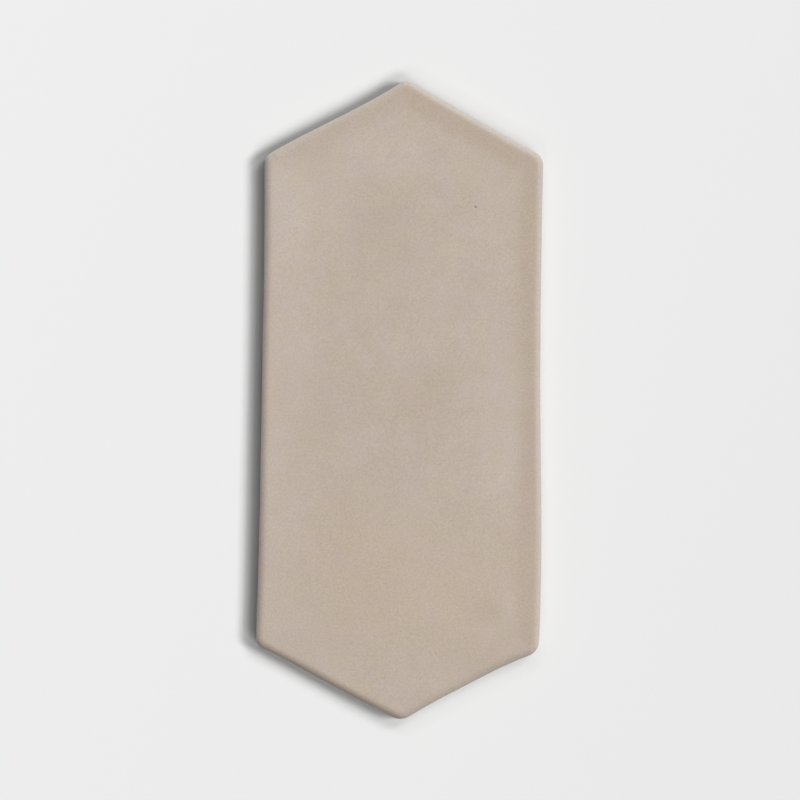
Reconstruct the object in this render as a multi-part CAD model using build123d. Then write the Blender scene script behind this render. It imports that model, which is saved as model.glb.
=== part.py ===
from build123d import *

import os
from math import ceil, cos, pi

# Picket tile: one pressed and glazed ceramic tile in the shape of a long hexagon.
#
# Millimetres. The tile lies on its back on the plane Z = 0 with its glazed face up. The long
# axis runs along Y, and +Y is the head end. The origin is the middle of the tile's box, on the
# plane of the back. Corners are named as seen from above, with the head end away.

# Driving sizes of the hexagon, before its corners are rounded
WIDTH = 100.0  # between the two long sides
LENGTH = 229.0  # from the head point to the foot point
SIDE = 175.6  # each long side
THICKNESS = 9.5  # at the middle of the face, where it is highest

# Edges of the section
FACE_ROLL = 3.2  # radius of the soft roll where the face turns down into the wall
BACK_ARRIS = 0.6  # radius of the small arris around the back

# The face isn't quite flat: a low crown, and the long waves that pressing and drying left
FACE_CROWN = 0.18  # how far the crown drops from the middle to each long side and each point
WAVE_DEPTH = 0.24  # from a crest to a trough
WAVE_ALONG = 96.0  # wavelength along the tile
WAVE_ACROSS = 74.0  # wavelength across the tile
POINTS_PER_WAVE = 8  # points of the face surface in one wavelength

# The outline was trimmed by hand. How far each corner sits from its true place (x, y), and
# its radius, clockwise from the head point.
CORNERS = {
    "head": (0.4, 0.7, 4.2),
    "head_right": (-0.6, 0.1, 4.9),
    "foot_right": (-0.85, -1.3, 5.2),
    "foot": (0.35, 0.35, 5.0),
    "foot_left": (-1.9, 0.4, 3.6),
    "head_left": (-0.2, -0.7, 3.8),
}

# How far each edge stands outside its straight line at these shares of its length. An edge is
# named for the corner that it starts from, clockwise. Less than nothing is inside the line.
BOW_SHARES = (0.25, 0.5, 0.75)
EDGE_BOWS = {
    "head": (-0.3, -0.3, -0.3),
    "head_right": (-0.4, -0.2, 0.6),
    "foot_right": (-1.1, -1.1, -0.85),
    "foot": (0.25, 0.1, -0.2),
    "foot_left": (-0.6, -0.6, -0.6),
    "head_left": (0.05, -0.35, -0.65),
}


def corner_points():
    """The six corners of the trimmed outline, clockwise from the head point."""
    true_places = {
        "head": (0, LENGTH / 2),
        "head_right": (WIDTH / 2, SIDE / 2),
        "foot_right": (WIDTH / 2, -SIDE / 2),
        "foot": (0, -LENGTH / 2),
        "foot_left": (-WIDTH / 2, -SIDE / 2),
        "head_left": (-WIDTH / 2, SIDE / 2),
    }
    return {
        name: Vector(x + CORNERS[name][0], y + CORNERS[name][1])
        for name, (x, y) in true_places.items()
    }


def outline():
    """The sharp-cornered outline as a flat face on Z = 0."""
    corners = corner_points()
    names = list(corners)
    edges = []
    for name, following in zip(names, names[1:] + names[:1]):
        start, end = corners[name], corners[following]
        outward = (end - start).normalized().rotate(Axis.Z, 90)
        bowed = [
            start + (end - start) * share + outward * bow
            for share, bow in zip(BOW_SHARES, EDGE_BOWS[name])
        ]
        edges.append(Spline(start, *bowed, end))
    return make_face(Wire(edges))


def face_height(x, y):
    """Height of the glazed face above the back."""
    crown = FACE_CROWN * ((2 * x / WIDTH) ** 2 + (2 * y / LENGTH) ** 2)
    wave = cos(2 * pi * x / WAVE_ACROSS) * cos(2 * pi * y / WAVE_ALONG)
    return THICKNESS - crown - WAVE_DEPTH * (1 - wave) / 2


def even_places(reach, spacing):
    """Places from -reach to reach, evenly spaced and no further apart than spacing."""
    gaps = ceil(2 * reach / spacing)
    return [reach * (2 * number / gaps - 1) for number in range(gaps + 1)]


def space_above_face():
    """The solid space over the face, one thickness wider all round than the hexagon."""
    xs = even_places(WIDTH / 2 + THICKNESS, WAVE_ACROSS / POINTS_PER_WAVE)
    ys = even_places(LENGTH / 2 + THICKNESS, WAVE_ALONG / POINTS_PER_WAVE)
    surface = Face.make_surface_from_array_of_points(
        [[Vector(x, y, face_height(x, y)) for y in ys] for x in xs]
    )
    return extrude(surface, amount=THICKNESS, dir=(0, 0, 1))


def make_tile():
    """The whole tile: blank, rounded corners, waved face, soft roll and back arris."""
    tile = extrude(outline(), amount=THICKNESS + FACE_ROLL)
    corners = corner_points()
    for name, (_, _, radius) in CORNERS.items():
        upright = tile.edges().filter_by(Axis.Z).sort_by_distance(corners[name])[0]
        tile = fillet(upright, radius)
    tile -= space_above_face()
    face = tile.faces().sort_by(Axis.Z)[-1]
    tile = fillet(face.edges(), FACE_ROLL)
    back = tile.faces().sort_by(Axis.Z)[0]
    tile = fillet(back.edges(), BACK_ARRIS)
    middle = tile.bounding_box().center()
    return Pos(-middle.X, -middle.Y, 0) * tile


os.makedirs("parts", exist_ok=True)
export_step(make_tile(), "parts/tile.step")
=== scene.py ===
# Picket tile: one pressed hexagonal wall tile in a satin greige glaze, lying on its back.
#
# Sizes are in millimetres and are turned to Blender's metres where a mesh, light or pattern is
# made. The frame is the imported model's: the back on Z = 0, the head point towards +Y.

import math
from functools import partial

import bmesh
import bpy
import numpy as np
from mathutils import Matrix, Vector, geometry, kdtree


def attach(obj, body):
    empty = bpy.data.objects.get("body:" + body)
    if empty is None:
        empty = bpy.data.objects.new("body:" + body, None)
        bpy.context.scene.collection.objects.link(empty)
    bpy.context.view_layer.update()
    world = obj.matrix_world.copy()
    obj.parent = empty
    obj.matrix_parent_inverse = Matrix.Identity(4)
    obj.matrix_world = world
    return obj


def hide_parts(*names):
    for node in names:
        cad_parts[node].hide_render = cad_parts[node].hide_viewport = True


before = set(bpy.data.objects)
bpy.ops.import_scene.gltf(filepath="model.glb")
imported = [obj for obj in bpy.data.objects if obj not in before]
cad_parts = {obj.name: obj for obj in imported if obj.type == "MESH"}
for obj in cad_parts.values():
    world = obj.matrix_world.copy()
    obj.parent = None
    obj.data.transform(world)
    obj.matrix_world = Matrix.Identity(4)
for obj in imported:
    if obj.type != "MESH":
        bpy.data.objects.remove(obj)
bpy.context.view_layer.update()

MM = 0.001

# The section, from the back up to the face
BACK_ARRIS = 0.6  # radius around the back
GLAZE_COAT = 0.3  # thickness of the glaze, so the bare foot stands back by this much
GLAZE_LINE = 1.9  # height of the glaze's lower edge
GLAZE_BEAD = 0.45  # height of the rounded bead that the melt drew up along that edge
ROLL_WIDTH = 3.4  # of the roll between wall and face
ROLL_EASE = 2.2  # 1 is a quarter circle, and more lets the face run out further before it turns

# The face, on the same rule as the solid
THICKNESS = 9.5
HALF_WIDTH = 50.0
HALF_LENGTH = 114.5
FACE_CROWN = 0.18
WAVE_DEPTH = 0.24
WAVE_ALONG = 96.0
WAVE_ACROSS = 74.0
FACE_SET_IN = 0.02  # how much lower the face starts, so that its ripple stays in the solid's box
RULE_MIDDLE = (-0.979, 0.478)  # where the box's middle is on the hexagon that the rule is for

# Fineness of the mesh
OUTLINE_STEP = 0.75  # between points around the tile
FACE_STEP = 0.82  # between points of the face
BACK_STEP = 4.0  # between points of the back
WALL_STEP = 0.6  # between rings of the wall
ROLL_STEP = 0.35  # between rings of the roll, along it
ROLL_TURN = 7.0  # degrees between rings of the roll, where it turns sharply
BEAD_RINGS = 5
ARRIS_RINGS = 3
LINE_PULL = 0.4  # share of the glaze line's wobble in the ring half way below it
ROLL_SAMPLES = 900  # of the roll's curve, before the rings are spaced along it
FACE_MARGIN = 0.6  # of a step, between the face's points and its ring or the pinhole's
BACK_MARGIN = 0.4  # of a step, between the back's points and its ring

# Relief that hands and the melt left, and the seed of its pattern
RIPPLE_DEPTH = 0.05
RIPPLE_SIZE = 16.0
WALL_RIPPLE = 0.08
LINE_WOBBLE = 0.5
LINE_SIZE = 18.0
RELIEF_SEED = 4.0

# The pinhole in the upper right of the face
PINHOLE = (26.22, 69.02)
PINHOLE_RADIUS = 0.56
PINHOLE_DEPTH = 0.3
PINHOLE_RINGS = (0.12, 0.25, 0.38, 0.5, 0.7)
PINHOLE_POINTS = 24  # per millimetre of a ring's radius

# Soft patches where the glaze lies thicker and paler, or thinner and browner where less than nothing,
# and at the dent near the foot a painted shade and highlight: centre x and y, half width, half length,
# strength
THICKNESS_AND_SHADE_PATCHES = [
    (-41, 60, 9, 32, 0.9),
    (-43, -30, 9, 50, 0.5),
    (-8, 88, 17, 12, 0.7),
    (38, 14, 11, 48, 0.4),
    (18, 51, 8, 10, 0.4),
    (-33, 22, 6, 10, 0.4),
    (35, -27, 5, 6, 0.3),
    (-9, 60, 12, 14, -0.4),
    (-4, 29, 11, 9, -0.4),
    (9, -2, 12, 20, -0.5),
    (-24, -42, 9, 14, -0.45),
    (-9, -68, 13, 16, -0.85),
    (9, -87, 17, 9, -0.6),
    (38, 84, 9, 9, -0.4),
    (46, -54, 5, 14, -0.6),
    # These three paint the dent near the foot: painted shade in and beside it, and a painted highlight
    # to its right
    (29, -72, 10, 6, -0.5),
    (31, -76, 5.5, 3.4, -1.6),
    (40, -75, 5, 5, 0.9),
]
WARM_PATCH = (6, -63, 41, 26)

# Small dents that fingers left in the face: centre x and y, half width, half length, depth
DENTS = [
    (31, -76, 4, 2.6, 0.09),
    (-9.5, -80, 4.5, 4.5, 0.05),
]

# The rim, where a painted sheen makes the glaze greyer, most on the side that faces the tile's main
# light
RIM_FULL = 0.4  # from the edge to where it starts to fade
RIM_END = 2.5  # from the edge to where it is gone
RIM_ON_WALL = 0.15  # its share at the foot of the wall
RIM_AZIMUTH = 60  # degrees from +X, where it is greyest
RIM_UNEVEN = 0.6  # how much of it is missing on the side across from there

# The glaze ran thin inside one part of the rim, in a band
RUN_AZIMUTH = 40  # degrees from +X, where the band is strongest
RUN_SHARE = 0.4  # how far round it reaches
RUN_INSIDE = 4.5  # from the edge to where the band starts to fade
RUN_END = 11.5  # from the edge to where it is gone

# Painted shade darkens the roll on the other side of the tile, which faces away from the main light,
# in the browner colour of thin glaze
ROLL_SHADE = 0.8  # of the band's strength
ROLL_SHADE_AZIMUTH = -120  # degrees from +X, where it is strongest
ROLL_SHADE_FALL = 1.5  # 1 falls as the cosine to either side, and more falls sooner
ROLL_SHADE_START = (0.2, 1.2)  # from the edge to where it starts, and to where it is in full
ROLL_SHADE_END = (1.4, 3.4)  # from the edge to where it starts to fade, and to where it is gone

# The glaze's thickness, from 0, thin and brown, to 1, thick and pale
NOISE_SPAN = (0.3, 0.7)  # where nearly all values of a noise pattern lie
GLAZE_MIDDLE = 0.52
PATCH_RISE = 0.5  # in a patch of strength 1
CREST_RISE = -0.1  # on the highest ripple
# The band inside the rim, and the painted shade of the roll, take the glaze down by this much where
# they are strongest
RUN_AND_SHADE_RISE = -0.75  # where it ran thinnest
DRIFT_SIZE = 26.0
DRIFT_RISE = 0.14
MOTTLE_SIZE = 6.5
MOTTLE_RISE = 0.1

# The glaze's tints, grain and sheen. A span is of a noise pattern's values, and a bump is its
# strength and its height in millimetres.
WARM_SHARE = 0.65
LEAN_SIZE = 10.0  # of patches that lean to khaki or to mauve
LEAN_SPAN = (0.36, 0.64)
KHAKI_LEAN = (0.997, 1.006, 0.97, 1)
MAUVE_LEAN = (1.004, 0.995, 1.028, 1)
POWDER_SIZE = 0.7  # of the unmelted matting powder. The real one's 0.1 mm is too fine to show.
POWDER_SHADE = 0.09  # how much lighter or darker its grains are
POWDER_BUMP = (0.5, 0.02)
GLAZE_ROUGHNESS = (0.6, 0.7)
CERAMIC_IOR = 1.5

# The bare clay. The wire that cut the back left drag lines along the tile.
FLAME_SIZE = 38.0
FLAME_SPAN = (0.35, 0.65)
DRAG_SIZE = 1.1  # a line's width
DRAG_SHARE = 0.03  # of a line's width to its length
DRAG_PALE = 0.35
DRAG_BUMP = (0.6, 0.25)
SAND_SIZE = 0.6  # the real grains are near 0.3 mm, and these are coarser so that they show
SAND_SPAN = (0.4, 0.68)
SAND_PALE = 0.6
SAND_BUMP = (0.7, 0.15)
SPECK_GAP = 3.2  # between specks of iron
SPECK_SPAN = (0.05, 0.11)  # of that gap, from a speck's dark middle to its edge
SPECK_DARK = 0.7
CLAY_ROUGHNESS = 0.92

# Colours
THIN_GLAZE = "#b1a192"
THICK_GLAZE = "#bdb0a4"
WARM_GLAZE = "#b9a998"
RIM_SHEEN_GREY = "#aca49b"
PINHOLE_DARK = "#8f8073"
CLAY_BUFF = "#cab9a3"
CLAY_PINK = "#cab3a3"
CLAY_SAND = "#dccfbb"
CLAY_IRON = "#8a6a50"
FLOOR_DARKER = "#8e8e8e"
FLOOR_PALER = "#929292"

# Painted light: the floor is painted a little paler to the left of the head than to the right of the
# foot
FLOOR_TOWARD_PALER = (-0.9, 0.437, 0)
FLOOR_FADE = 245.0  # from the tile's middle to where each of its two greys is reached
FLOOR_REACH = 20000.0  # from the tile's middle to the floor's sides

# Wide soft lights: azimuth anticlockwise from +X, elevation and width in degrees, strength. The
# floor's stand round the right-hand side, so that the shadow lies to the left. They are strong
# enough to show the grey floor pale, and its grey keeps light from washing out the shadow.
ROOM_LIGHT = 0.1
FLOOR_LIGHTS = [
    (0, 51.8, 16.3, 1.325),
    (45.9, 54, 16, 0.468),
    (-45.9, 54, 16, 0.468),
    (66.3, 59.4, 16, 0.152),
    (-66.3, 59.4, 16, 0.152),
    (104.8, 52.7, 16, 0.17),
    (-104.8, 52.7, 16, 0.17),
]
TILE_LIGHTS = [
    (64, 44, 60, 0.848),
    (-38, 10, 32, 0.084),
    (150, 12, 60, 0.01),
]

# The picture that the camera matches
PICTURE_SIDE = 800  # pixels
MM_PER_PIXEL = 0.35706  # at the widest part of the tile
TILE_CENTRE_PIXEL = (400.25, 400.12)  # right and down from the picture's corner
TILE_LEAN = 0.48  # degrees clockwise
LENS = 250.0
SENSOR = 36.0


def linear(hex_colour):
    """An sRGB hex colour as linear red, green, blue and alpha."""
    parts = [int(hex_colour[place : place + 2], 16) / 255 for place in (1, 3, 5)]
    return [p / 12.92 if p <= 0.04045 else ((p + 0.055) / 1.055) ** 2.4 for p in parts] + [1.0]


def add(tree, kind, settings=None, inputs=None):
    """Adds a node with its settings, and the values or links of its inputs."""
    node = tree.nodes.new(kind)
    for name, value in (settings or {}).items():
        setattr(node, name, value)
    for key, value in (inputs or {}).items():
        if isinstance(value, bpy.types.NodeSocket):
            tree.links.new(value, node.inputs[key])
        else:
            node.inputs[key].default_value = value
    return node


def cycles_per_metre(size):
    """The scale of a pattern whose marks are this many millimetres wide."""
    return 1 / (size * MM)


def math_node(tree, operation, first, second=0.0, third=0.0):
    """A number worked out from one to three others."""
    inputs = {0: first, 1: second, 2: third}
    return add(tree, "ShaderNodeMath", {"operation": operation}, inputs).outputs[0]


def noise(tree, where, size, detail, roughness=0.5):
    """A soft random pattern whose marks are this many millimetres wide."""
    inputs = {
        "Vector": where,
        "Scale": cycles_per_metre(size),
        "Detail": detail,
        "Roughness": roughness,
    }
    return add(tree, "ShaderNodeTexNoise", inputs=inputs).outputs[0]


def ranged(tree, value, low, high, start, end):
    """A number taken from one range to another, and kept inside it."""
    inputs = {"Value": value, "From Min": low, "From Max": high, "To Min": start, "To Max": end}
    return add(tree, "ShaderNodeMapRange", inputs=inputs).outputs[0]


def blend(tree, share, first, second):
    """A colour that goes from the first to the second as the share goes from 0 to 1."""
    inputs = {"Factor": share, "A": first, "B": second}
    return add(tree, "ShaderNodeMix", {"data_type": "RGBA"}, inputs).outputs["Result"]


def bump(tree, strength, height, pattern, normal=None):
    """A surface raised by a pattern to this height in millimetres, on another one's relief."""
    inputs = {"Strength": strength, "Distance": height * MM, "Height": pattern}
    if normal is not None:
        inputs["Normal"] = normal
    return add(tree, "ShaderNodeBump", inputs=inputs).outputs[0]


# The outline


def read_outline(node, height):
    """The wall's outline at a height, anticlockwise and evenly spaced, with its facets smoothed."""
    work = bmesh.new()
    work.from_mesh(node.data)
    bmesh.ops.remove_doubles(work, verts=work.verts, dist=0.001 * MM)
    parts = [*work.verts, *work.edges, *work.faces]
    cut = bmesh.ops.bisect_plane(work, geom=parts, plane_co=(0, 0, height * MM), plane_no=(0, 0, 1))
    corners = [v.co.xy / MM for v in cut["geom_cut"] if isinstance(v, bmesh.types.BMVert)]
    work.free()
    corners = np.array(sorted(corners, key=lambda p: math.atan2(p.y, p.x)))
    closed = np.vstack([corners, corners[:1]])
    along = np.concatenate([[0], np.cumsum(np.linalg.norm(np.diff(closed, axis=0), axis=1))])
    count = round(along[-1] / OUTLINE_STEP)
    places = np.linspace(0, along[-1], count, endpoint=False)
    loop = np.column_stack([np.interp(places, along, closed[:, axis]) for axis in (0, 1)])
    frequency = np.fft.fftfreq(count, along[-1] / count)
    keep = np.exp(-2 * (math.pi * frequency * OUTLINE_STEP) ** 2)
    return np.real(np.fft.ifft(np.fft.fft(loop, axis=0) * keep[:, None], axis=0))


def outward_normals(loop):
    """Unit vectors that point out of a closed anticlockwise loop."""
    along = np.roll(loop, -1, axis=0) - np.roll(loop, 1, axis=0)
    out = np.column_stack([along[:, 1], -along[:, 0]])
    return out / np.linalg.norm(out, axis=1)[:, None]


# The net of the tile


def roll_section():
    """Insets from the wall and drops from the face along the roll, from the wall up."""
    tilt = np.linspace(0, math.pi / 2, ROLL_SAMPLES)
    inset = ROLL_WIDTH * (1 - np.sin(tilt) ** (1 / ROLL_EASE))
    steps = (np.sin(tilt[:-1]) ** (1 / ROLL_EASE) + np.sin(tilt[1:]) ** (1 / ROLL_EASE)) / 2
    drop = np.concatenate([[0], np.cumsum(steps * np.diff(tilt))]) * ROLL_WIDTH / ROLL_EASE
    length = np.hypot(np.diff(inset), np.diff(drop))
    effort = length / ROLL_STEP + np.diff(tilt) / math.radians(ROLL_TURN)
    effort = np.concatenate([[0], np.cumsum(effort)])
    places = np.linspace(effort[-1], 0, math.ceil(effort[-1]) + 1)
    return list(zip(np.interp(places, effort, inset), np.interp(places, effort, drop)))


def section_rings(top):
    """Rings from the back to the face: inset, height, whether the band below is bare clay, and
    how much the ring follows the face's relief and the glaze line's wobble."""
    foot = GLAZE_COAT
    rings = []
    for step in range(ARRIS_RINGS + 1):
        turn = math.pi / 2 * step / ARRIS_RINGS
        inset = foot + BACK_ARRIS * (1 - math.sin(turn))
        rings.append((inset, BACK_ARRIS * (1 - math.cos(turn)), True, 0, 0))
    rings.append((foot, (BACK_ARRIS + GLAZE_LINE) / 2, True, 0, LINE_PULL))
    rings.append((foot, GLAZE_LINE, True, 0, 1))
    for step in range(1, BEAD_RINGS + 1):
        turn = math.pi / 2 * step / BEAD_RINGS
        inset = GLAZE_COAT * (1 - math.sin(turn))
        rings.append((inset, GLAZE_LINE + GLAZE_BEAD * (1 - math.cos(turn)), False, 0, 1))
    roll = roll_section()
    low, high = GLAZE_LINE + GLAZE_BEAD, top - roll[0][1]
    count = round((high - low) / WALL_STEP)
    for step in range(1, count + 1):
        share = step / count
        rings.append((0, low + (high - low) * share, False, share**2, 1 - share))
    for inset, drop in roll[1:]:
        rings.append((inset, top - drop, False, 1, 0))
    return rings


def lattice(loop, step, margin):
    """Points of a triangular lattice inside a loop, at least a margin away from it."""
    tree = kdtree.KDTree(len(loop))
    for number, (x, y) in enumerate(loop):
        tree.insert((x, y, 0), number)
    tree.balance()
    out = outward_normals(loop)
    points = []
    rise = step * math.sqrt(3) / 2
    low, high = loop.min(axis=0), loop.max(axis=0)
    for row in range(int((high[1] - low[1]) / rise)):
        y = low[1] + rise * (row + 1)
        for column in range(int((high[0] - low[0]) / step)):
            x = low[0] + step * (column + 0.5 * (row % 2) + 0.5)
            near, number, gap = tree.find((x, y, 0))
            inside = (x - near.x) * out[number][0] + (y - near.y) * out[number][1] < 0
            if inside and gap > margin:
                points.append((x, y))
    return points


def pinhole_points():
    """The pinhole's centre and rings of points around it."""
    points = [PINHOLE]
    for radius in PINHOLE_RINGS:
        count = max(6, round(radius * PINHOLE_POINTS))
        for number in range(count):
            turn = 2 * math.pi * number / count
            points.append((PINHOLE[0] + radius * math.cos(turn), PINHOLE[1] + radius * math.sin(turn)))
    return points


def fill(ring, inner):
    """Triangles of a ring and the points inside it, as numbers of ring points, then inner ones."""
    places = [Vector(p) for p in [*ring, *inner]]
    edges = [(number, (number + 1) % len(ring)) for number in range(len(ring))]
    made = geometry.delaunay_2d_cdt(places, edges, [], 1, 1e-6)
    source = [ids[0] for ids in made[3]]
    return [[source[corner] for corner in face] for face in made[2]]


def soft_spot(x, y, cx, cy, wide, long, power=2):
    """1 at a spot's centre, falling softly to 0 outside its half width and half length."""
    return math.exp(-abs((x - cx) / wide) ** power - abs((y - cy) / long) ** power)


def all_spots(points, spots):
    """The sum of soft spots at each point. A spot is its centre, half sizes and strength."""
    return [sum(soft_spot(x, y, *spot[:4]) * spot[4] for spot in spots) for x, y in points]


def fade(gap, full, end):
    """1 up to one gap from the edge, falling softly to 0 at another."""
    share = min(max((end - gap) / (end - full), 0), 1)
    return share * share * (3 - 2 * share)


def rim_sheen_share(gap, face_share, direction):
    """How much of the rim's painted sheen shows, at a gap from an edge that faces this way."""
    turned = (1 - math.cos(direction - math.radians(RIM_AZIMUTH))) / 2
    strength = (RIM_ON_WALL + (1 - RIM_ON_WALL) * face_share) * (1 - RIM_UNEVEN * turned)
    return strength * fade(gap, RIM_FULL, RIM_END)


def thin_glaze_and_shade(gap, direction):
    """How much thinner the glaze is at a gap from an edge that faces this way, in the band inside the
    rim, and how much painted shade darkens the roll across from it."""
    toward = math.cos(direction - math.radians(RUN_AZIMUTH))
    strength = min(max((toward + RUN_SHARE) / (1 + RUN_SHARE), 0), 1)
    band = strength * fade(gap, RUN_INSIDE, RUN_END) * (1 - fade(gap, RIM_FULL, RIM_END))
    across = max(math.cos(direction - math.radians(ROLL_SHADE_AZIMUTH)), 0) ** ROLL_SHADE_FALL
    roll = across * fade(gap, *ROLL_SHADE_END) * (1 - fade(gap, *ROLL_SHADE_START))
    return band + ROLL_SHADE * roll


def make_net(outline, top):
    """The tile before its relief: rings around the section, a fine face and a plain back."""
    out = outward_normals(outline)
    directions = np.arctan2(out[:, 1], out[:, 0])
    rings = section_rings(top)
    around = len(outline)
    points, faces, bare = [], [], []
    follow, wobble, gaps, nearest = [], [], [], []
    for inset, height, _, face_share, line_share in rings:
        for (x, y), (nx, ny) in zip(outline, out):
            points.append((x - nx * inset, y - ny * inset, height))
        follow += [face_share] * around
        wobble += [line_share] * around
        gaps += [inset] * around
        nearest += range(around)
    for number, ring in enumerate(rings[1:]):
        for place in range(around):
            here, beside = number * around + place, number * around + (place + 1) % around
            faces.append((here, beside, beside + around, here + around))
        bare += [ring[2]] * around

    edge = kdtree.KDTree(around)
    for number, (x, y) in enumerate(outline):
        edge.insert((x, y, 0), number)
    edge.balance()

    def cover(ring, first, inner, height, share, clay):
        """Closes a ring, whose first point has this number, with a sheet through inner points."""
        start = len(points)
        for x, y in inner:
            points.append((x, y, height))
            _, number, gap = edge.find((x, y, 0))
            gaps.append(gap)
            nearest.append(number)
        follow.extend([share] * len(inner))
        wobble.extend([0] * len(inner))
        for face in fill(ring, inner):
            numbers = [first + c if c < around else start + c - around for c in face]
            faces.append(numbers[::-1] if clay else numbers)
            bare.append(clay)

    ring = outline - out * rings[-1][0]
    margin = FACE_STEP * FACE_MARGIN
    clear = PINHOLE_RINGS[-1] + margin
    inner = [p for p in lattice(ring, FACE_STEP, margin) if math.dist(p, PINHOLE) > clear]
    cover(ring, (len(rings) - 1) * around, inner + pinhole_points(), top, 1, False)
    ring = outline - out * rings[0][0]
    cover(ring, 0, lattice(ring, BACK_STEP, BACK_STEP * BACK_MARGIN), 0, 0, True)

    places = np.array(points)
    on_face = places[:, 2] > top / 2
    hole = np.clip(1 - np.hypot(*(places[:, :2] - PINHOLE).T) / PINHOLE_RADIUS, 0, 1)
    mesh = bpy.data.meshes.new("tile_net")
    mesh.from_pydata([tuple(p) for p in places * MM], [], faces)
    mesh.polygons.foreach_set("use_smooth", [True] * len(faces))
    flat = [(x, y) for x, y, _ in points]
    values = {
        "follows_face": follow,
        "follows_line": wobble,
        "pinhole": hole * hole * (3 - 2 * hole) * on_face,
        "dent": all_spots(flat, DENTS),
        "thick_and_shade": all_spots(flat, THICKNESS_AND_SHADE_PATCHES),
        "warm": [soft_spot(x, y, *WARM_PATCH, power=4) for x, y in flat],
        "thin_glaze_and_shade": [thin_glaze_and_shade(gap, directions[number]) for gap, number in zip(gaps, nearest)],
        "rim": [
            rim_sheen_share(gap, face_share, directions[number])
            for gap, face_share, number in zip(gaps, follow, nearest)
        ],
    }
    for name, numbers in values.items():
        layer = mesh.attributes.new(name, "FLOAT", "POINT")
        layer.data.foreach_set("value", np.array(numbers, np.float32))
    layer = mesh.attributes.new("bare_clay", "BOOLEAN", "FACE")
    layer.data.foreach_set("value", bare)
    return mesh


# The relief


def relief_tree():
    """Crown, long waves, hand ripple, dents, pinhole and the wobble of the glaze line."""
    tree = bpy.data.node_groups.new("pressed_relief", "GeometryNodeTree")
    sizes = [
        "Half Width",
        "Half Length",
        "Middle Across",
        "Middle Along",
        "Crown",
        "Wave Depth",
        "Wave Across",
        "Wave Along",
        "Ripple Depth",
        "Ripple Size",
        "Wall Ripple",
        "Line Wobble",
        "Line Size",
        "Pinhole Depth",
        "Seed",
    ]
    tree.interface.new_socket("Net", in_out="INPUT", socket_type="NodeSocketGeometry")
    for name in sizes:
        tree.interface.new_socket(name, in_out="INPUT", socket_type="NodeSocketFloat")
    for name in ("Glaze", "Clay"):
        tree.interface.new_socket(name, in_out="INPUT", socket_type="NodeSocketMaterial")
    tree.interface.new_socket("Tile", in_out="OUTPUT", socket_type="NodeSocketGeometry")
    given = add(tree, "NodeGroupInput").outputs
    place = add(tree, "GeometryNodeInputPosition").outputs[0]
    split = add(tree, "ShaderNodeSeparateXYZ", inputs={0: place}).outputs
    worked = partial(math_node, tree)

    def read(name):
        return add(tree, "GeometryNodeInputNamedAttribute", inputs={"Name": name}).outputs[0]

    def moved(operation, inputs):
        return add(tree, "ShaderNodeVectorMath", {"operation": operation}, inputs).outputs[0]

    def ripple(size, depth, shift):
        """A soft random swell, from less than nothing to its depth."""
        inputs = {
            "Vector": place,
            "W": worked("ADD", given["Seed"], shift),
            "Scale": worked("DIVIDE", 1.0, size),
            "Detail": 2.0,
        }
        swell = add(tree, "ShaderNodeTexNoise", {"noise_dimensions": "4D"}, inputs).outputs[0]
        return worked("MULTIPLY", worked("MULTIPLY_ADD", swell, 2.0, -1.0), depth)

    # The crown and the waves are taken from the middle of the hexagon, as in the solid
    across = worked("ADD", split[0], given["Middle Across"])
    along = worked("ADD", split[1], given["Middle Along"])
    share_across = worked("DIVIDE", across, given["Half Width"])
    share_along = worked("DIVIDE", along, given["Half Length"])
    squares = worked("MULTIPLY", share_along, share_along)
    crown = worked("MULTIPLY_ADD", share_across, share_across, squares)
    crown = worked("MULTIPLY", crown, given["Crown"])
    turns_across = worked("MULTIPLY", worked("DIVIDE", across, given["Wave Across"]), math.tau)
    turns_along = worked("MULTIPLY", worked("DIVIDE", along, given["Wave Along"]), math.tau)
    wave = worked("MULTIPLY", worked("COSINE", turns_across), worked("COSINE", turns_along))
    wave = worked("MULTIPLY", worked("MULTIPLY_ADD", wave, -0.5, 0.5), given["Wave Depth"])

    hand = ripple(given["Ripple Size"], given["Ripple Depth"], 0.0)
    drop = worked("ADD", worked("ADD", crown, wave), worked("MULTIPLY", read("dent"), MM))
    height = worked("MULTIPLY", worked("SUBTRACT", hand, drop), read("follows_face"))
    line = ripple(given["Line Size"], given["Line Wobble"], 7.0)
    height = worked("MULTIPLY_ADD", line, read("follows_line"), height)
    pit = worked("MULTIPLY", read("pinhole"), given["Pinhole Depth"])
    rise = add(tree, "ShaderNodeCombineXYZ", inputs={2: worked("SUBTRACT", height, pit)}).outputs[0]

    # The wall swells and sinks level, away from the face
    swell = ripple(given["Ripple Size"], given["Wall Ripple"], 3.0)
    swell = worked("MULTIPLY", swell, read("follows_line"))
    normal = add(tree, "GeometryNodeInputNormal").outputs[0]
    outward = moved("MULTIPLY", {0: normal, 1: (1, 1, 0)})
    offset = moved("ADD", {0: rise, 1: moved("SCALE", {0: outward, "Scale": swell})})

    crest = worked("DIVIDE", hand, given["Ripple Depth"])
    inputs = {"Geometry": given["Net"], "Name": "crest", "Value": crest}
    kept = add(tree, "GeometryNodeStoreNamedAttribute", {"data_type": "FLOAT"}, inputs).outputs[0]
    inputs = {"Geometry": kept, "Offset": offset}
    shaped = add(tree, "GeometryNodeSetPosition", inputs=inputs).outputs[0]
    whole = add(tree, "GeometryNodeRealizeInstances", inputs={"Geometry": shaped}).outputs[0]
    inputs = {"Geometry": whole, "Material": given["Glaze"]}
    dressed = add(tree, "GeometryNodeSetMaterial", inputs=inputs).outputs[0]
    kind, inputs = {"data_type": "BOOLEAN"}, {"Name": "bare_clay"}
    bare = add(tree, "GeometryNodeInputNamedAttribute", kind, inputs).outputs[0]
    inputs = {"Geometry": dressed, "Selection": bare, "Material": given["Clay"]}
    dressed = add(tree, "GeometryNodeSetMaterial", inputs=inputs).outputs[0]
    add(tree, "NodeGroupOutput", inputs={0: dressed})
    return tree


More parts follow.
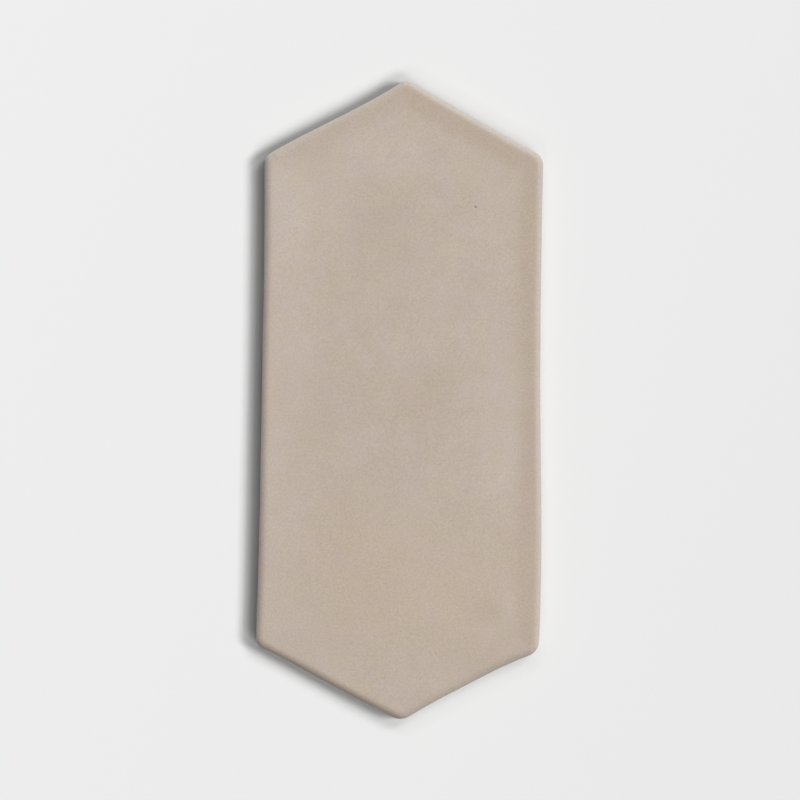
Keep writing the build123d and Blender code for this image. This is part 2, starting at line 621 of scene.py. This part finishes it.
def shape_tile(mesh, glaze, clay):
    """The net with its relief and materials, as a plain mesh object."""
    inputs = {
        "Half Width": HALF_WIDTH * MM,
        "Half Length": HALF_LENGTH * MM,
        "Middle Across": RULE_MIDDLE[0] * MM,
        "Middle Along": RULE_MIDDLE[1] * MM,
        "Crown": FACE_CROWN * MM,
        "Wave Depth": WAVE_DEPTH * MM,
        "Wave Across": WAVE_ACROSS * MM,
        "Wave Along": WAVE_ALONG * MM,
        "Ripple Depth": RIPPLE_DEPTH * MM,
        "Ripple Size": RIPPLE_SIZE * MM,
        "Wall Ripple": WALL_RIPPLE * MM,
        "Line Wobble": LINE_WOBBLE * MM,
        "Line Size": LINE_SIZE * MM,
        "Pinhole Depth": PINHOLE_DEPTH * MM,
        "Seed": RELIEF_SEED,
        "Glaze": glaze,
        "Clay": clay,
    }
    net = bpy.data.objects.new("tile_net", mesh)
    bpy.context.scene.collection.objects.link(net)
    tree = relief_tree()
    modifier = net.modifiers.new("relief", "NODES")
    modifier.node_group = tree
    for socket in tree.interface.items_tree:
        if socket.name in inputs:
            modifier[socket.identifier] = inputs[socket.name]
    depsgraph = bpy.context.evaluated_depsgraph_get()
    shaped = bpy.data.meshes.new_from_object(
        net.evaluated_get(depsgraph), preserve_all_data_layers=True, depsgraph=depsgraph
    )
    bpy.data.objects.remove(net)
    shaped.name = "glazed_tile"
    tile = bpy.data.objects.new("glazed_tile", shaped)
    bpy.context.scene.collection.objects.link(tile)
    return tile


# The finishes


def new_material(name):
    """An empty node material and its output node."""
    material = bpy.data.materials.new(name)
    material.use_nodes = True
    material.node_tree.nodes.clear()
    return material, add(material.node_tree, "ShaderNodeOutputMaterial")


def satin_glaze():
    """Satin matte glaze, sprayed and fired. It is soft to the light, greyer and paler where it pooled,
    browner where it ran thin, and finely grained where it didn't melt smooth. A painted sheen greys
    its rim, and painted shade darkens the roll across from there and a dent near the foot."""
    material, output = new_material("satin_matte_ceramic_glaze")
    tree = material.node_tree
    place = add(tree, "ShaderNodeTexCoord").outputs["Object"]
    worked = partial(math_node, tree)
    grain = partial(noise, tree, place)

    def read(name):
        return add(tree, "ShaderNodeAttribute", {"attribute_name": name}).outputs["Fac"]

    # How thick the glaze lies, with the painted shade of the roll across from the rim's band
    drift = ranged(tree, grain(DRIFT_SIZE, 3.0), *NOISE_SPAN, -DRIFT_RISE, DRIFT_RISE)
    mottle = ranged(tree, grain(MOTTLE_SIZE, 3.0), *NOISE_SPAN, -MOTTLE_RISE, MOTTLE_RISE)
    # The patches carry a painted shade and highlight at the dent near the foot
    thickness = worked("MULTIPLY_ADD", read("thick_and_shade"), PATCH_RISE, GLAZE_MIDDLE)
    thickness = worked("MULTIPLY_ADD", read("crest"), CREST_RISE, thickness)
    thickness = worked("ADD", thickness, worked("ADD", drift, mottle))
    thickness = worked("MULTIPLY_ADD", read("thin_glaze_and_shade"), RUN_AND_SHADE_RISE, thickness)
    colour = blend(tree, thickness, linear(THIN_GLAZE), linear(THICK_GLAZE))
    warmth = worked("MULTIPLY", read("warm"), WARM_SHARE)
    colour = blend(tree, warmth, colour, linear(WARM_GLAZE))
    # Painted sheen: the rim is greyed, most where it faces the tile's main light
    colour = blend(tree, read("rim"), colour, linear(RIM_SHEEN_GREY))

    # Patches lean a little to khaki or to mauve
    lean = ranged(tree, grain(LEAN_SIZE, 3.0), *LEAN_SPAN, 0.0, 1.0)
    inputs = {0: colour, 1: blend(tree, lean, KHAKI_LEAN, MAUVE_LEAN)}
    colour = add(tree, "ShaderNodeVectorMath", {"operation": "MULTIPLY"}, inputs).outputs[0]

    # Grain of the matting powder
    powder = grain(POWDER_SIZE, 2.0, 0.6)
    shade = ranged(tree, powder, *NOISE_SPAN, 1 - POWDER_SHADE, 1 + POWDER_SHADE)
    inputs = {0: colour, "Scale": shade}
    colour = add(tree, "ShaderNodeVectorMath", {"operation": "SCALE"}, inputs).outputs[0]
    # The pinhole is coloured darker than the bare clay
    colour = blend(tree, read("pinhole"), colour, linear(PINHOLE_DARK))

    surface = {
        "Base Color": colour,
        "Roughness": ranged(tree, powder, *NOISE_SPAN, *GLAZE_ROUGHNESS),
        "IOR": CERAMIC_IOR,
        "Normal": bump(tree, *POWDER_BUMP, powder),
    }
    shader = add(tree, "ShaderNodeBsdfPrincipled", inputs=surface).outputs[0]
    tree.links.new(shader, output.inputs["Surface"])
    return material


def bisque_clay():
    """Bare clay of the foot and back, wire-cut and fired without glaze. It is pale buff and chalky,
    with the wire's drag lines, and the sand and small iron specks of the body showing."""
    material, output = new_material("buff_bisque_clay")
    tree = material.node_tree
    place = add(tree, "ShaderNodeTexCoord").outputs["Object"]

    flame = ranged(tree, noise(tree, place, FLAME_SIZE, 3.0), *FLAME_SPAN, 0.0, 1.0)
    colour = blend(tree, flame, linear(CLAY_BUFF), linear(CLAY_PINK))
    drawn = {0: place, 1: (1, DRAG_SHARE, 1)}
    drawn = add(tree, "ShaderNodeVectorMath", {"operation": "MULTIPLY"}, drawn).outputs[0]
    drag = noise(tree, drawn, DRAG_SIZE, 4.0)
    pale = ranged(tree, drag, *NOISE_SPAN, 0.0, DRAG_PALE)
    colour = blend(tree, pale, colour, linear(CLAY_SAND))

    # Sand and iron of the body
    sand = noise(tree, place, SAND_SIZE, 3.0)
    pale = ranged(tree, sand, *SAND_SPAN, 0.0, SAND_PALE)
    colour = blend(tree, pale, colour, linear(CLAY_SAND))
    cells = {"Vector": place, "Scale": cycles_per_metre(SPECK_GAP)}
    speck = add(tree, "ShaderNodeTexVoronoi", inputs=cells).outputs["Distance"]
    dark = ranged(tree, speck, *SPECK_SPAN, SPECK_DARK, 0.0)
    colour = blend(tree, dark, colour, linear(CLAY_IRON))

    lined = bump(tree, *DRAG_BUMP, drag)
    surface = {
        "Base Color": colour,
        "Roughness": CLAY_ROUGHNESS,
        "IOR": CERAMIC_IOR,
        "Normal": bump(tree, *SAND_BUMP, sand, lined),
    }
    shader = add(tree, "ShaderNodeBsdfPrincipled", inputs=surface).outputs[0]
    tree.links.new(shader, output.inputs["Surface"])
    return material


# The studio


def make_floor():
    """A plain grey floor under the tile."""
    mesh = bpy.data.meshes.new("floor")
    reach = FLOOR_REACH * MM
    corners = [(-reach, -reach, 0), (reach, -reach, 0), (reach, reach, 0), (-reach, reach, 0)]
    mesh.from_pydata(corners, [], [(0, 1, 2, 3)])
    material, output = new_material("grey_floor")
    tree = material.node_tree
    place = add(tree, "ShaderNodeTexCoord").outputs["Object"]
    # Painted light, a little paler to the left of the head
    along = {0: place, 1: FLOOR_TOWARD_PALER}
    along = add(tree, "ShaderNodeVectorMath", {"operation": "DOT_PRODUCT"}, along).outputs["Value"]
    share = ranged(tree, along, -FLOOR_FADE * MM, FLOOR_FADE * MM, 0.0, 1.0)
    colour = blend(tree, share, linear(FLOOR_DARKER), linear(FLOOR_PALER))
    shader = add(tree, "ShaderNodeBsdfDiffuse", inputs={"Color": colour}).outputs[0]
    tree.links.new(shader, output.inputs["Surface"])
    mesh.materials.append(material)
    floor = bpy.data.objects.new("floor", mesh)
    bpy.context.scene.collection.objects.link(floor)
    return floor


def add_lights(lights, lit):
    """Far soft lights that fall on one object. What stands in their way still blocks them."""
    group = bpy.data.collections.new(f"lights_on_{lit.name}")
    group.objects.link(lit)
    for number, (azimuth, elevation, width, strength) in enumerate(lights):
        name = f"light_on_{lit.name}_{number}"
        light = bpy.data.lights.new(name, "SUN")
        light.energy = strength * math.pi / math.sin(math.radians(elevation))
        light.angle = math.radians(width)
        lamp = bpy.data.objects.new(name, light)
        lamp.rotation_euler = (0, math.radians(90 - elevation), math.radians(azimuth))
        lamp.light_linking.receiver_collection = group
        bpy.context.scene.collection.objects.link(lamp)


def light_scene(tile, floor):
    """A dim even room, and the lights of the floor and of the tile."""
    world = bpy.data.worlds.new("studio")
    world.use_nodes = True
    room = world.node_tree.nodes["Background"]
    room.inputs["Color"].default_value = (1, 1, 1, 1)
    room.inputs["Strength"].default_value = ROOM_LIGHT
    bpy.context.scene.world = world
    add_lights(FLOOR_LIGHTS, floor)
    add_lights(TILE_LIGHTS, tile)
    bpy.context.scene.view_settings.view_transform = "Standard"


def add_camera():
    """The camera of the picture, straight above the tile."""
    camera = bpy.data.objects.new("camera", bpy.data.cameras.new("camera"))
    camera.data.lens = LENS
    camera.data.sensor_width = SENSOR
    widest = THICKNESS - roll_section()[0][1]
    distance = MM_PER_PIXEL * PICTURE_SIDE * LENS / SENSOR
    right = (TILE_CENTRE_PIXEL[0] - PICTURE_SIDE / 2) * MM_PER_PIXEL
    down = (TILE_CENTRE_PIXEL[1] - PICTURE_SIDE / 2) * MM_PER_PIXEL
    camera.location = Vector((-right, down, widest + distance)) * MM
    camera.rotation_euler = (0, 0, math.radians(TILE_LEAN))
    bpy.context.scene.collection.objects.link(camera)
    bpy.context.scene.camera = camera


outline = read_outline(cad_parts["tile"], THICKNESS / 2)
tile = shape_tile(make_net(outline, THICKNESS - FACE_SET_IN), satin_glaze(), bisque_clay())
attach(tile, "root")
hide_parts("tile")
floor = make_floor()
light_scene(tile, floor)
add_camera()
